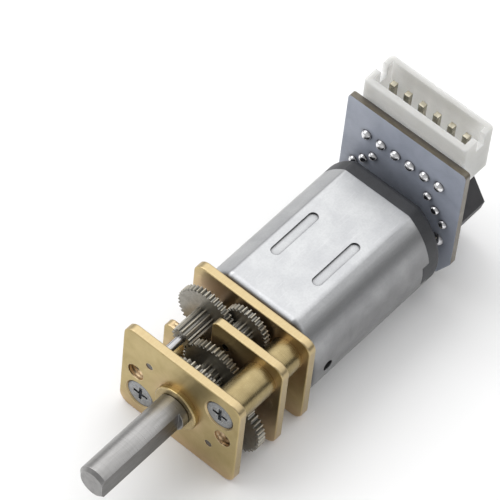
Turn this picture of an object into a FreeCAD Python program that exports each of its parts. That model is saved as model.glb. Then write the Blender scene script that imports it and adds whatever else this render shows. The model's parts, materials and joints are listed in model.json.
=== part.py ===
import FreeCAD, Part
import math
import os

# A small geared DC motor with a shaft encoder, in millimetres.
#
# The output shaft lies along X and points to +X. The origin is on its axis, in the front
# face of the gearbox. +Z leaves through the upper flat of the motor can, so the lower
# flat, at Z = -5, is the face that the motor lies on. Every gear turns about a line
# parallel to X. A centre is a pair (y, z), and an angle is measured from +Y towards +Z.

# Outline that the gearbox plates, the can and its cap share
BODY_WIDTH = 12.0
BODY_HEIGHT = 10.0

# Gearbox plates, placed by their front faces
PLATE_THICKNESS = 0.8
PLATE_CORNER_RADIUS = 1.0
PLATE_EDGE_RADIUS = 0.12
FRONT_PLATE_X = 0.0
MIDDLE_PLATE_X = -5.0
REAR_PLATE_X = -8.2
CORNER_CUT_Y = -1.3
CORNER_CUT_Z = 0.15
CORNER_CUT_RADIUS = 0.6

# Spacers and the screws that run through them
SCREW_CENTRE = (3.95, 2.6)
SPACER_RADIUS = 1.5
SCREW_SHANK_RADIUS = 0.55
SCREW_HEAD_RADIUS = 1.3
SCREW_HEAD_DROP = 0.1
SCREW_END_X = -8.7
COUNTERSINK_RADIUS = 1.45
CROSS_LENGTH = 1.45
CROSS_WIDTH = 0.32
CROSS_DEPTH = 0.4

# Tapped holes that hold the gearmotor to something else
MOUNTING_HOLE_SPACING = 9.0
MOUNTING_HOLE_RADIUS = 0.8

# Output shaft and its bush
SHAFT_RADIUS = 1.5
SHAFT_END_X = 10.0
SHAFT_CHAMFER = 0.3
SHAFT_START_X = 0.55
FLAT_START_X = 1.2
FLAT_Y = 1.0
JOURNAL_RADIUS = 1.3
GEAR_SEAT_RADIUS = 1.1
TAIL_RADIUS = 0.6
BUSH_RADIUS = 1.9
BUSH_COLLAR_RADIUS = 2.1
BUSH_COLLAR_HEIGHT = 0.5
BUSH_BACK_X = -1.1
RUNNING_CLEARANCE = 0.03

# Gear train
PRESSURE_ANGLE = math.radians(25.0)
ADDENDUM = 0.8
DEDENDUM = 1.0
TOOTH_THINNING = 0.02
PIN_RADIUS = 0.35
PIN_A_CENTRE = (-3.2, 2.05)
PIN_B_CENTRE = (3.2, -2.05)
FIRST_PIN_CENTRE = (0.2, 2.84)
SHAFT_CENTRE = (0.0, 0.0)
MOTOR_PINION_TEETH = 12
FIRST_WHEEL_TEETH = 30
FIRST_PINION_TEETH = 12
WHEEL_A_TEETH = 40
PINION_A_TEETH = 12
CENTRE_WHEEL_TEETH = 42
CENTRE_PINION_TEETH = 14
WHEEL_B_TEETH = 39
PINION_B_TEETH = 12
OUTPUT_TEETH = 33

# Where each toothed ring starts and ends along X
MOTOR_PINION_X = (-8.1, -7.25)
FIRST_WHEEL_X = (-7.9, -7.3)
FIRST_PINION_X = (-7.3, -6.3)
WHEEL_A_X = (-7.1, -6.5)
PINION_A_X = (-6.5, -3.7)
CENTRE_WHEEL_X = (-4.6, -3.9)
CENTRE_PINION_X = (-3.9, -2.5)
WHEEL_B_X = (-3.5, -2.7)
PINION_B_X = (-2.7, -1.2)
OUTPUT_GEAR_X = (-2.4, -1.3)

# Motor can
CAN_FRONT_X = REAR_PLATE_X - PLATE_THICKNESS
CAN_REAR_X = -23.4
CAN_WALL = 0.4
CAN_CREASE_RADIUS = 0.6
CAN_DRAW_RADIUS = 0.7
CAN_SLOT_X = (-18.5, -13.1)
CAN_SLOT_Y = 2.15
CAN_SLOT_WIDTH = 0.9
CAN_SLOT_DEPTH = 0.15
VENT_X = -10.9
VENT_RADIUS = 0.5
SIDE_LUG_LENGTH = 0.8
SIDE_LUG_WIDTH = 2.2
FLAT_LUG_LENGTH = 1.3
FLAT_LUG_WIDTH = 1.6
FLAT_LUG_Y = -0.6

# End cap
CAP_REAR_X = -24.9
CAP_EDGE_RADIUS = 0.5
CAP_PLUG_X = -22.6
CAP_PLUG_GAP = 0.05
CAP_BOSS_X = -25.9
CAP_BOSS_RADIUS = 1.9

# Bearings, rotor and magnets
ROTOR_SHAFT_RADIUS = 0.5
ROTOR_SHAFT_X = (-32.1, -7.2)
FRONT_BEARING_RADIUS = 1.7
FRONT_BEARING_X = (-10.2, -8.3)
REAR_BEARING_RADIUS = 1.2
REAR_BEARING_X = (-25.0, -22.8)
MAGNET_X = (-20.0, -11.2)
MAGNET_INNER_RADIUS = 3.85
MAGNET_OUTER_RADIUS = 5.5
MAGNET_HALF_ANGLE = 48.0
CORE_X = (-18.6, -12.6)
CORE_RADIUS = 3.6
CORE_SHOE_INNER_RADIUS = 2.95
CORE_SHOE_HALF_ANGLE = 50.0
CORE_HUB_RADIUS = 1.2
CORE_ARM_WIDTH = 1.0
COIL_WIDTH = 2.4
COIL_OVERHANG = 0.6
COIL_INNER_RADIUS = 1.35
COIL_OUTER_RADIUS = 2.5
COMMUTATOR_X = (-21.6, -19.9)
COMMUTATOR_RADIUS = 1.0
COMMUTATOR_CORE_RADIUS = 0.75
COMMUTATOR_SLIT = 0.15
WASHER_RADIUS = 0.9
WASHER_THICKNESS = 0.35
MOTOR_SCREW_Y = 3.0
MOTOR_SCREW_HEAD_RADIUS = 0.95
MOTOR_SCREW_SHANK_RADIUS = 0.5
MOTOR_SCREW_END_X = -9.9

# Brushes and terminals
BRUSH_THICKNESS = 0.15
BRUSH_GAP = 0.04
BRUSH_X = (-21.3, -20.3)
BRUSH_Z = (-2.6, 1.0)
BRUSH_FOOT_HALF_WIDTH = 0.6
TERMINAL_Y = 4.35
TERMINAL_THICKNESS = 0.3
TERMINAL_HALF_WIDTH = 0.5
TERMINAL_END_X = -27.6
TERMINAL_LINK_THICKNESS = 0.2

# Circuit board
BOARD_FRONT_X = -26.4
BOARD_THICKNESS = 0.6
BOARD_HALF_WIDTH = 6.05
BOARD_TOP_Z = 9.65
BOARD_SHOULDER_Z = -2.0
BOARD_BOTTOM_Z = -4.2
BOARD_BOTTOM_HALF_WIDTH = 4.8
BOARD_CORNER_RADIUS = 0.35
BOARD_HOLE_RADIUS = 1.4

# Encoder magnet and Hall sensors
DISC_X = (-31.9, -28.1)
DISC_RADIUS = 4.2
DISC_EDGE_RADIUS = 0.2
HUB_RADIUS = 1.0
SENSOR_X = (-30.6, -27.6)
SENSOR_ANGLES = (33.0, 147.0)
SENSOR_INNER_RADIUS = 4.45
SENSOR_THICKNESS = 1.5
SENSOR_WIDTH = 4.0
SENSOR_BEVEL = 0.75
SENSOR_EDGE_RADIUS = 0.08
LEG_HOLE_ANGLES = (41.5, 138.5)
LEG_HOLE_RADIUS = 5.05
LEG_PITCH = 1.4
LEG_SIZE = 0.4
LEG_FRONT_X = -26.2

# Six-way right-angle header
WAY_COUNT = 6
WAY_PITCH = 1.5
HOUSING_HALF_WIDTH = 5.25
HOUSING_DEPTH = 3.6
HOUSING_Z = (6.85, 11.7)
HOUSING_WALL = 0.55
HOUSING_FLOOR_Z = 7.9
HOUSING_CORNER_RADIUS = 0.3
HOUSING_RIM_RADIUS = 0.12
KEY_SLOT_X = (-29.4, -28.5)
KEY_SLOT_BOTTOM_Z = 10.4
PIN_SIZE = 0.5
HEADER_PIN_X = -29.15
HEADER_PIN_TOP_Z = 10.5
HEADER_JOINT_Z = 6.45
HEADER_PIN_FRONT_X = -26.15

# Solder and chip components
HEADER_DOME = (0.5, 0.45)
SENSOR_DOME = (0.42, 0.38)
TERMINAL_DOME = (0.68, 0.42)
CHIP_SIZE = (0.45, 0.8, 1.6)
CHIP_Z = 4.6
CHIP_SPACING = 1.6

BOARD_REAR_X = BOARD_FRONT_X - BOARD_THICKNESS
ORIGIN = FreeCAD.Vector(0, 0, 0)
ALONG_X = FreeCAD.Vector(1, 0, 0)
ALONG_Z = FreeCAD.Vector(0, 0, 1)


# ---------------------------------------------------------------- basic solids

def block(x_range, y_range, z_range):
    """Box between two values on each axis, given in either order."""
    low = FreeCAD.Vector(min(x_range), min(y_range), min(z_range))
    size = [abs(pair[1] - pair[0]) for pair in (x_range, y_range, z_range)]
    return Part.makeBox(size[0], size[1], size[2], low)


def disc(x_range, radius, centre=SHAFT_CENTRE):
    """Round bar along X."""
    start = FreeCAD.Vector(min(x_range), centre[0], centre[1])
    return Part.makeCylinder(radius, abs(x_range[1] - x_range[0]), start, ALONG_X)


def cone(x_range, radii, centre=SHAFT_CENTRE):
    """Cone along X; radii belong to the low and the high end of x_range."""
    start = FreeCAD.Vector(x_range[0], centre[0], centre[1])
    return Part.makeCone(radii[0], radii[1], x_range[1] - x_range[0], start, ALONG_X)


def opposite(centre):
    """The centre mirrored through the shaft's axis."""
    return (-centre[0], -centre[1])


def prism(points, x_range):
    """Solid with a straight-sided outline of (y, z) points."""
    corners = [FreeCAD.Vector(min(x_range), y, z) for y, z in points]
    face = Part.Face(Part.makePolygon(corners + corners[:1]))
    return face.extrude(ALONG_X * abs(x_range[1] - x_range[0]))


def on_circle(radius, degrees, x=0.0):
    angle = math.radians(degrees)
    return FreeCAD.Vector(x, radius * math.cos(angle), radius * math.sin(angle))


def sector(x_range, inner_radius, outer_radius, middle, half_angle):
    """Piece of a ring, centred on an angle in degrees."""
    low, high = middle - half_angle, middle + half_angle
    x = min(x_range)
    outer = Part.Arc(on_circle(outer_radius, low, x), on_circle(outer_radius, middle, x),
                     on_circle(outer_radius, high, x)).toShape()
    inner = Part.Arc(on_circle(inner_radius, high, x), on_circle(inner_radius, middle, x),
                     on_circle(inner_radius, low, x)).toShape()
    side_high = Part.makeLine(on_circle(outer_radius, high, x), on_circle(inner_radius, high, x))
    side_low = Part.makeLine(on_circle(inner_radius, low, x), on_circle(outer_radius, low, x))
    face = Part.Face(Part.Wire([outer, side_high, inner, side_low]))
    return face.extrude(ALONG_X * abs(x_range[1] - x_range[0]))


def turned(shape, degrees):
    """Copy of a shape, turned about the X axis."""
    copy = shape.copy()
    copy.rotate(ORIGIN, ALONG_X, degrees)
    return copy


def runs_along_x(edge):
    return abs(edge.tangentAt(edge.FirstParameter).x) > 0.99


def edges_at_x(shape, x):
    """Edges that lie in the plane at x."""
    return [edge for edge in shape.Edges
            if abs(edge.BoundBox.XMin - x) < 1e-4 and abs(edge.BoundBox.XMax - x) < 1e-4]


def round_rim(shape, x, radius):
    return shape.makeFillet(radius, edges_at_x(shape, x))


def group(solids):
    return Part.makeCompound(solids)


# ---------------------------------------------------------------- gear teeth

def involute(angle):
    return math.tan(angle) - angle


def tooth_half_angle(teeth, module, radius):
    """Half of a tooth's angle at a radius, on an involute flank."""
    pitch_radius = teeth * module / 2
    base_radius = pitch_radius * math.cos(PRESSURE_ANGLE)
    thickness = math.pi * module / 2 - TOOTH_THINNING
    at_pitch = thickness / (2 * pitch_radius)
    pressure = math.acos(min(1.0, base_radius / radius))
    return at_pitch + involute(PRESSURE_ANGLE) - involute(pressure)


def toothed_ring(teeth, module, x_range, centre, phase):
    """Solid spur gear with one tooth centred on the angle phase, in radians."""
    pitch_radius = teeth * module / 2
    base_radius = pitch_radius * math.cos(PRESSURE_ANGLE)
    root_radius = pitch_radius - DEDENDUM * module
    tip_radius = pitch_radius + ADDENDUM * module
    working_radius = max(base_radius, root_radius)
    flank = [(root_radius, tooth_half_angle(teeth, module, working_radius))]
    for radius in (working_radius, pitch_radius, tip_radius):
        flank.append((radius, tooth_half_angle(teeth, module, radius)))
    if working_radius - root_radius < 0.01:
        flank.pop(0)
    points = []
    for tooth in range(teeth):
        middle = phase + 2 * math.pi * tooth / teeth
        rising = [(radius, middle - half) for radius, half in flank]
        falling = [(radius, middle + half) for radius, half in reversed(flank)]
        for radius, angle in rising + falling:
            points.append((centre[0] + radius * math.cos(angle),
                           centre[1] + radius * math.sin(angle)))
    return prism(points, x_range)


def pair_module(teeth_1, centre_1, teeth_2, centre_2):
    distance = math.hypot(centre_2[0] - centre_1[0], centre_2[1] - centre_1[1])
    return 2 * distance / (teeth_1 + teeth_2)


def meshing_phase(teeth_1, centre_1, teeth_2, centre_2):
    """Phase that puts gear 2 in mesh with gear 1, whose own phase is zero."""
    line = math.atan2(centre_2[1] - centre_1[1], centre_2[0] - centre_1[0])
    passed = line * teeth_1 / (2 * math.pi)
    return line + math.pi - (0.5 - passed) * 2 * math.pi / teeth_2


def driving_pinion(teeth, centre, wheel_teeth, wheel_centre, x_range):
    module = pair_module(teeth, centre, wheel_teeth, wheel_centre)
    return toothed_ring(teeth, module, x_range, centre, 0.0)


def driven_wheel(teeth, centre, pinion_teeth, pinion_centre, x_range):
    module = pair_module(pinion_teeth, pinion_centre, teeth, centre)
    phase = meshing_phase(pinion_teeth, pinion_centre, teeth, centre)
    return toothed_ring(teeth, module, x_range, centre, phase)


# ---------------------------------------------------------------- gearbox frame

def gearbox_plate(front_x):
    x_range = (front_x - PLATE_THICKNESS, front_x)
    plate = block(x_range, (-BODY_WIDTH / 2, BODY_WIDTH / 2), (-BODY_HEIGHT / 2, BODY_HEIGHT / 2))
    plate = plate.makeFillet(PLATE_CORNER_RADIUS, [e for e in plate.Edges if runs_along_x(e)])
    return plate.makeFillet(PLATE_EDGE_RADIUS, [e for e in plate.Edges if not runs_along_x(e)])


def is_at(edge, places):
    """Whether an edge along X passes through one of the (y, z) places."""
    middle = edge.BoundBox.Center
    return any(math.hypot(middle.y - y, middle.z - z) < 0.01 for y, z in places)


def is_plate_corner(edge):
    half_width, half_height = BODY_WIDTH / 2, BODY_HEIGHT / 2
    return is_at(edge, [(-half_width, -half_height), (half_width, -half_height),
                        (half_width, half_height)])


def plate_hole(front_x, radius, centre):
    return disc((front_x - PLATE_THICKNESS - 0.1, front_x + 0.1), radius, centre)


def front_plate():
    plate = gearbox_plate(FRONT_PLATE_X)
    plate = plate.cut(plate_hole(FRONT_PLATE_X, BUSH_RADIUS, SHAFT_CENTRE))
    for centre in (PIN_A_CENTRE, PIN_B_CENTRE):
        plate = plate.cut(plate_hole(FRONT_PLATE_X, PIN_RADIUS, centre))
    for centre in (SCREW_CENTRE, opposite(SCREW_CENTRE)):
        tip_x = FRONT_PLATE_X - (COUNTERSINK_RADIUS - SCREW_SHANK_RADIUS)
        plate = plate.cut(plate_hole(FRONT_PLATE_X, SCREW_SHANK_RADIUS, centre))
        plate = plate.cut(cone((tip_x, FRONT_PLATE_X), (SCREW_SHANK_RADIUS, COUNTERSINK_RADIUS),
                               centre))
    for side in (-1, 1):
        hole_centre = (side * MOUNTING_HOLE_SPACING / 2, 0.0)
        plate = plate.cut(plate_hole(FRONT_PLATE_X, MOUNTING_HOLE_RADIUS, hole_centre))
    return plate


def middle_plate():
    """Plate whose upper left corner is cut away for the long pinion and its wheel."""
    x_range = (MIDDLE_PLATE_X - PLATE_THICKNESS, MIDDLE_PLATE_X)
    half_width, half_height = BODY_WIDTH / 2, BODY_HEIGHT / 2
    outline = [(-half_width, -half_height), (half_width, -half_height), (half_width, half_height),
               (CORNER_CUT_Y, half_height), (CORNER_CUT_Y, CORNER_CUT_Z),
               (-half_width, CORNER_CUT_Z)]
    plate = prism(outline, x_range)
    outer = [edge for edge in plate.Edges if runs_along_x(edge) and is_plate_corner(edge)]
    plate = plate.makeFillet(PLATE_CORNER_RADIUS, outer)
    cut_corners = [(CORNER_CUT_Y, half_height), (CORNER_CUT_Y, CORNER_CUT_Z),
                   (-half_width, CORNER_CUT_Z)]
    inner = [edge for edge in plate.Edges if runs_along_x(edge) and is_at(edge, cut_corners)]
    plate = plate.makeFillet(CORNER_CUT_RADIUS, inner)
    plate = plate.makeFillet(PLATE_EDGE_RADIUS, [e for e in plate.Edges if not runs_along_x(e)])
    plate = plate.cut(plate_hole(MIDDLE_PLATE_X, TAIL_RADIUS + RUNNING_CLEARANCE, SHAFT_CENTRE))
    for centre in (PIN_B_CENTRE, FIRST_PIN_CENTRE):
        plate = plate.cut(plate_hole(MIDDLE_PLATE_X, PIN_RADIUS, centre))
    for centre in (SCREW_CENTRE, opposite(SCREW_CENTRE)):
        plate = plate.cut(plate_hole(MIDDLE_PLATE_X, SCREW_SHANK_RADIUS, centre))
    return plate


def rear_plate():
    plate = gearbox_plate(REAR_PLATE_X)
    plate = plate.cut(plate_hole(REAR_PLATE_X, FRONT_BEARING_RADIUS, SHAFT_CENTRE))
    for centre in (PIN_A_CENTRE, FIRST_PIN_CENTRE):
        plate = plate.cut(plate_hole(REAR_PLATE_X, PIN_RADIUS, centre))
    for centre in (SCREW_CENTRE, opposite(SCREW_CENTRE)):
        plate = plate.cut(plate_hole(REAR_PLATE_X, SCREW_SHANK_RADIUS, centre))
    for side in (-1, 1):
        plate = plate.cut(motor_screw_body(side))
    return plate


def spacer_pair(x_range):
    spacers = []
    for centre in (SCREW_CENTRE, opposite(SCREW_CENTRE)):
        spacer = disc(x_range, SPACER_RADIUS, centre)
        spacers.append(spacer.cut(disc(x_range, SCREW_SHANK_RADIUS, centre)))
    return group(spacers)


def front_spacers():
    return spacer_pair((MIDDLE_PLATE_X, FRONT_PLATE_X - PLATE_THICKNESS))


def rear_spacers():
    return spacer_pair((REAR_PLATE_X, MIDDLE_PLATE_X - PLATE_THICKNESS))


def cross_recess(top_x, centre):
    x_range = (top_x - CROSS_DEPTH, top_x + 0.1)
    y, z = centre
    half_length, half_width = CROSS_LENGTH / 2, CROSS_WIDTH / 2
    wide = block(x_range, (y - half_length, y + half_length), (z - half_width, z + half_width))
    tall = block(x_range, (y - half_width, y + half_width), (z - half_length, z + half_length))
    return wide.fuse(tall)


def gearbox_screws():
    top_x = FRONT_PLATE_X - SCREW_HEAD_DROP
    cone_x = top_x - (SCREW_HEAD_RADIUS - SCREW_SHANK_RADIUS)
    screws = []
    for centre in (SCREW_CENTRE, opposite(SCREW_CENTRE)):
        head = cone((cone_x, top_x), (SCREW_SHANK_RADIUS, SCREW_HEAD_RADIUS), centre)
        shank = disc((SCREW_END_X, cone_x), SCREW_SHANK_RADIUS, centre)
        screws.append(head.fuse(shank).cut(cross_recess(top_x, centre)))
    return group(screws)


def output_bush():
    body = disc((BUSH_BACK_X, FRONT_PLATE_X), BUSH_RADIUS)
    collar = disc((FRONT_PLATE_X, FRONT_PLATE_X + BUSH_COLLAR_HEIGHT), BUSH_COLLAR_RADIUS)
    collar = round_rim(collar, FRONT_PLATE_X + BUSH_COLLAR_HEIGHT, PLATE_EDGE_RADIUS)
    bore_x = (BUSH_BACK_X - 0.1, FRONT_PLATE_X + BUSH_COLLAR_HEIGHT + 0.1)
    return body.fuse(collar).cut(disc(bore_x, JOURNAL_RADIUS + RUNNING_CLEARANCE))


# ---------------------------------------------------------------- gear train

def output_shaft():
    """D-shaped output end, journal, gear seat and the tail that carries the centre idler."""
    end = disc((FLAT_START_X, SHAFT_END_X), SHAFT_RADIUS)
    end = end.makeChamfer(SHAFT_CHAMFER, edges_at_x(end, SHAFT_END_X))
    flat = block((FLAT_START_X, SHAFT_END_X + 0.1), (FLAT_Y, SHAFT_RADIUS + 0.1),
                 (-SHAFT_RADIUS, SHAFT_RADIUS))
    shoulder = disc((SHAFT_START_X, FLAT_START_X), SHAFT_RADIUS)
    journal = disc((BUSH_BACK_X - 0.1, SHAFT_START_X), JOURNAL_RADIUS)
    seat = disc((min(OUTPUT_GEAR_X), BUSH_BACK_X - 0.1), GEAR_SEAT_RADIUS)
    tail = disc((MIDDLE_PLATE_X - PLATE_THICKNESS, min(OUTPUT_GEAR_X)), TAIL_RADIUS)
    return end.cut(flat).fuse([shoulder, journal, seat, tail])


def output_gear():
    gear = driven_wheel(OUTPUT_TEETH, SHAFT_CENTRE, PINION_B_TEETH, PIN_B_CENTRE, OUTPUT_GEAR_X)
    return gear.cut(disc(OUTPUT_GEAR_X, GEAR_SEAT_RADIUS))


def compound_gear(wheel, pinion, centre, bore_radius):
    gear = wheel.fuse(pinion)
    box = gear.BoundBox
    return gear.cut(disc((box.XMin, box.XMax), bore_radius, centre)).removeSplitter()


def centre_idler_gear():
    wheel = driven_wheel(CENTRE_WHEEL_TEETH, SHAFT_CENTRE, PINION_A_TEETH, PIN_A_CENTRE,
                         CENTRE_WHEEL_X)
    pinion = driving_pinion(CENTRE_PINION_TEETH, SHAFT_CENTRE, WHEEL_B_TEETH, PIN_B_CENTRE,
                            CENTRE_PINION_X)
    return compound_gear(wheel, pinion, SHAFT_CENTRE, TAIL_RADIUS + RUNNING_CLEARANCE)


def idler_gear_a():
    wheel = driven_wheel(WHEEL_A_TEETH, PIN_A_CENTRE, FIRST_PINION_TEETH, FIRST_PIN_CENTRE,
                         WHEEL_A_X)
    pinion = driving_pinion(PINION_A_TEETH, PIN_A_CENTRE, CENTRE_WHEEL_TEETH, SHAFT_CENTRE,
                            PINION_A_X)
    return compound_gear(wheel, pinion, PIN_A_CENTRE, PIN_RADIUS + RUNNING_CLEARANCE)


def idler_gear_b():
    wheel = driven_wheel(WHEEL_B_TEETH, PIN_B_CENTRE, CENTRE_PINION_TEETH, SHAFT_CENTRE,
                         WHEEL_B_X)
    pinion = driving_pinion(PINION_B_TEETH, PIN_B_CENTRE, OUTPUT_TEETH, SHAFT_CENTRE,
                            PINION_B_X)
    return compound_gear(wheel, pinion, PIN_B_CENTRE, PIN_RADIUS + RUNNING_CLEARANCE)


def first_idler_gear():
    wheel = driven_wheel(FIRST_WHEEL_TEETH, FIRST_PIN_CENTRE, MOTOR_PINION_TEETH, SHAFT_CENTRE,
                         FIRST_WHEEL_X)
    pinion = driving_pinion(FIRST_PINION_TEETH, FIRST_PIN_CENTRE, WHEEL_A_TEETH, PIN_A_CENTRE,
                            FIRST_PINION_X)
    return compound_gear(wheel, pinion, FIRST_PIN_CENTRE, PIN_RADIUS + RUNNING_CLEARANCE)


def motor_pinion():
    pinion = driving_pinion(MOTOR_PINION_TEETH, SHAFT_CENTRE, FIRST_WHEEL_TEETH,
                            FIRST_PIN_CENTRE, MOTOR_PINION_X)
    return pinion.cut(disc(MOTOR_PINION_X, ROTOR_SHAFT_RADIUS))


def idler_pin_a():
    return disc((CAN_FRONT_X, FRONT_PLATE_X - 0.05), PIN_RADIUS, PIN_A_CENTRE)


def idler_pin_b():
    return disc((MIDDLE_PLATE_X - PLATE_THICKNESS, FRONT_PLATE_X - 0.05), PIN_RADIUS,
                PIN_B_CENTRE)


def first_idler_pin():
    return disc((CAN_FRONT_X, MIDDLE_PLATE_X), PIN_RADIUS, FIRST_PIN_CENTRE)


# ---------------------------------------------------------------- motor

def can_section(x_range, inset):
    """Solid with two round sides and two flats, inset from the can's outer surface."""
    half_height = BODY_HEIGHT / 2 - inset
    bar = disc(x_range, BODY_WIDTH / 2 - inset)
    bar = bar.common(block(x_range, (-BODY_WIDTH, BODY_WIDTH), (-half_height, half_height)))
    creases = [edge for edge in bar.Edges
               if runs_along_x(edge) and abs(abs(edge.BoundBox.Center.z) - half_height) < 0.01]
    return bar.makeFillet(CAN_CREASE_RADIUS - min(inset, CAN_WALL) / 2, creases)


def oblong(x_range, y, width, z_range):
    """Bar with round ends, standing along Z."""
    radius = width / 2
    height = z_range[1] - z_range[0]
    low, high = min(x_range) + radius, max(x_range) - radius
    bar = block((low, high), (y - radius, y + radius), z_range)
    for x in (low, high):
        bar = bar.fuse(Part.makeCylinder(radius, height, FreeCAD.Vector(x, y, z_range[0]), ALONG_Z))
    return bar


def lug_spaces(gap):
    """Notches in the can's rear edge, or the cap's lugs in them when gap is above zero."""
    rear = CAN_REAR_X - 0.1
    half = SIDE_LUG_WIDTH / 2 - gap
    side_x = (rear, CAN_REAR_X + SIDE_LUG_LENGTH - gap)
    flat_x = (rear, CAN_REAR_X + FLAT_LUG_LENGTH - gap)
    flat_y = (FLAT_LUG_Y - FLAT_LUG_WIDTH / 2 + gap, FLAT_LUG_Y + FLAT_LUG_WIDTH / 2 - gap)
    depth = (BODY_WIDTH / 2 - 2 * CAN_WALL, BODY_WIDTH / 2 + 0.1)
    left = block(side_x, (-depth[1], -depth[0]), (-half, half))
    right = block(side_x, depth, (-half, half))
    lower = block(flat_x, flat_y, (-BODY_HEIGHT / 2 - 0.1, -BODY_HEIGHT / 2 + 2 * CAN_WALL))
    return left.fuse([right, lower])


def motor_can():
    """Drawn steel cup, closed at the front, with two slots pressed into its upper flat."""
    shell = round_rim(can_section((CAN_REAR_X, CAN_FRONT_X), 0.0), CAN_FRONT_X, CAN_DRAW_RADIUS)
    shell = shell.cut(can_section((CAN_REAR_X - 0.1, CAN_FRONT_X - CAN_WALL), CAN_WALL))
    top = BODY_HEIGHT / 2
    for side in (-1, 1):
        y = side * CAN_SLOT_Y
        shell = shell.cut(oblong(CAN_SLOT_X, y, CAN_SLOT_WIDTH, (top - CAN_SLOT_DEPTH, top + 0.1)))
        inner_top = top - CAN_WALL
        shell = shell.fuse(oblong(CAN_SLOT_X, y, CAN_SLOT_WIDTH - 2 * CAN_SLOT_DEPTH,
                                  (inner_top - CAN_SLOT_DEPTH, inner_top + 0.1)))
        shell = shell.cut(disc((CAN_FRONT_X - 1, CAN_FRONT_X + 0.1), MOTOR_SCREW_SHANK_RADIUS,
                               (side * MOTOR_SCREW_Y, 0.0)))
    vent = Part.makeCylinder(VENT_RADIUS, 2 * BODY_WIDTH, FreeCAD.Vector(VENT_X, -BODY_WIDTH, 0),
                             FreeCAD.Vector(0, 1, 0))
    bearing_hole = disc((CAN_FRONT_X - 1, CAN_FRONT_X + 0.1), FRONT_BEARING_RADIUS)
    return shell.cut([vent, bearing_hole, lug_spaces(0.0)]).removeSplitter()


def end_cap():
    """Moulded cap with a plug inside the can, lugs in its notches and a boss at the back."""
    cap = round_rim(can_section((CAP_REAR_X, CAN_REAR_X), 0.0), CAP_REAR_X, CAP_EDGE_RADIUS)
    plug = can_section((CAN_REAR_X, CAP_PLUG_X), CAN_WALL + CAP_PLUG_GAP)
    boss = disc((CAP_BOSS_X, CAP_REAR_X), CAP_BOSS_RADIUS)
    skin = can_section((CAN_REAR_X, CAP_PLUG_X + 1), 0.0)
    skin = skin.cut(can_section((CAN_REAR_X, CAP_PLUG_X + 1), CAN_WALL + CAP_PLUG_GAP))
    lugs = skin.common(lug_spaces(CAP_PLUG_GAP))
    cap = cap.fuse([plug, boss, lugs]).removeSplitter()
    bearing_seat = disc((min(REAR_BEARING_X), CAP_PLUG_X + 0.1), REAR_BEARING_RADIUS)
    shaft_hole = disc((CAP_BOSS_X - 0.1, CAP_PLUG_X), ROTOR_SHAFT_RADIUS + 3 * RUNNING_CLEARANCE)
    cap = cap.cut([bearing_seat, shaft_hole])
    for side in (-1, 1):
        cap = cap.cut(terminal_strip(side))
    return cap


def front_bearing():
    return disc(FRONT_BEARING_X, FRONT_BEARING_RADIUS).cut(
        disc(FRONT_BEARING_X, ROTOR_SHAFT_RADIUS + RUNNING_CLEARANCE))


def rear_bearing():
    return disc(REAR_BEARING_X, REAR_BEARING_RADIUS).cut(
        disc(REAR_BEARING_X, ROTOR_SHAFT_RADIUS + RUNNING_CLEARANCE))


def field_magnet(middle_angle):
    return sector(MAGNET_X, MAGNET_INNER_RADIUS, MAGNET_OUTER_RADIUS, middle_angle,
                  MAGNET_HALF_ANGLE)


def rotor_shaft():
    return disc(ROTOR_SHAFT_X, ROTOR_SHAFT_RADIUS)


def rotor_core():
    """Stack of laminations with a hub and three T-shaped poles."""
    arm = block(CORE_X, (0.0, CORE_SHOE_INNER_RADIUS + 0.2),
                (-CORE_ARM_WIDTH / 2, CORE_ARM_WIDTH / 2))
    shoe = sector(CORE_X, CORE_SHOE_INNER_RADIUS, CORE_RADIUS, 0.0, CORE_SHOE_HALF_ANGLE)
    pole = arm.fuse(shoe)
    core = disc(CORE_X, CORE_HUB_RADIUS).fuse([turned(pole, angle) for angle in POLE_ANGLES])
    return core.cut(disc(CORE_X, ROTOR_SHAFT_RADIUS)).removeSplitter()


POLE_ANGLES = (90.0, 210.0, 330.0)


def rotor_windings():
    """One coil round each pole."""
    x_range = (min(CORE_X) - COIL_OVERHANG, max(CORE_X) + COIL_OVERHANG)
    radial = (COIL_INNER_RADIUS, COIL_OUTER_RADIUS)
    coil = block(x_range, radial, (-COIL_WIDTH / 2, COIL_WIDTH / 2))
    coil = coil.cut(block(CORE_X, radial, (-CORE_ARM_WIDTH / 2, CORE_ARM_WIDTH / 2)))
    return group([turned(coil, angle) for angle in POLE_ANGLES])


def commutator():
    """Three copper segments on the rotor shaft."""
    ring = disc(COMMUTATOR_X, COMMUTATOR_RADIUS).cut(disc(COMMUTATOR_X, COMMUTATOR_CORE_RADIUS))
    slit = block(COMMUTATOR_X, (0.0, 2 * COMMUTATOR_RADIUS),
                 (-COMMUTATOR_SLIT / 2, COMMUTATOR_SLIT / 2))
    return group(ring.cut([turned(slit, angle) for angle in POLE_ANGLES]).Solids)


def commutator_core():
    """Insulating sleeve under the copper segments."""
    return disc(COMMUTATOR_X, COMMUTATOR_CORE_RADIUS).cut(disc(COMMUTATOR_X, ROTOR_SHAFT_RADIUS))


def rotor_washers():
    """Thin washers that keep the rotor off its two bearings."""
    washers = []
    for low_x in (min(FRONT_BEARING_X) - 0.1 - WASHER_THICKNESS, CAP_PLUG_X + 0.1):
        x_range = (low_x, low_x + WASHER_THICKNESS)
        washers.append(disc(x_range, WASHER_RADIUS).cut(disc(x_range, ROTOR_SHAFT_RADIUS)))
    return group(washers)


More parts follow.
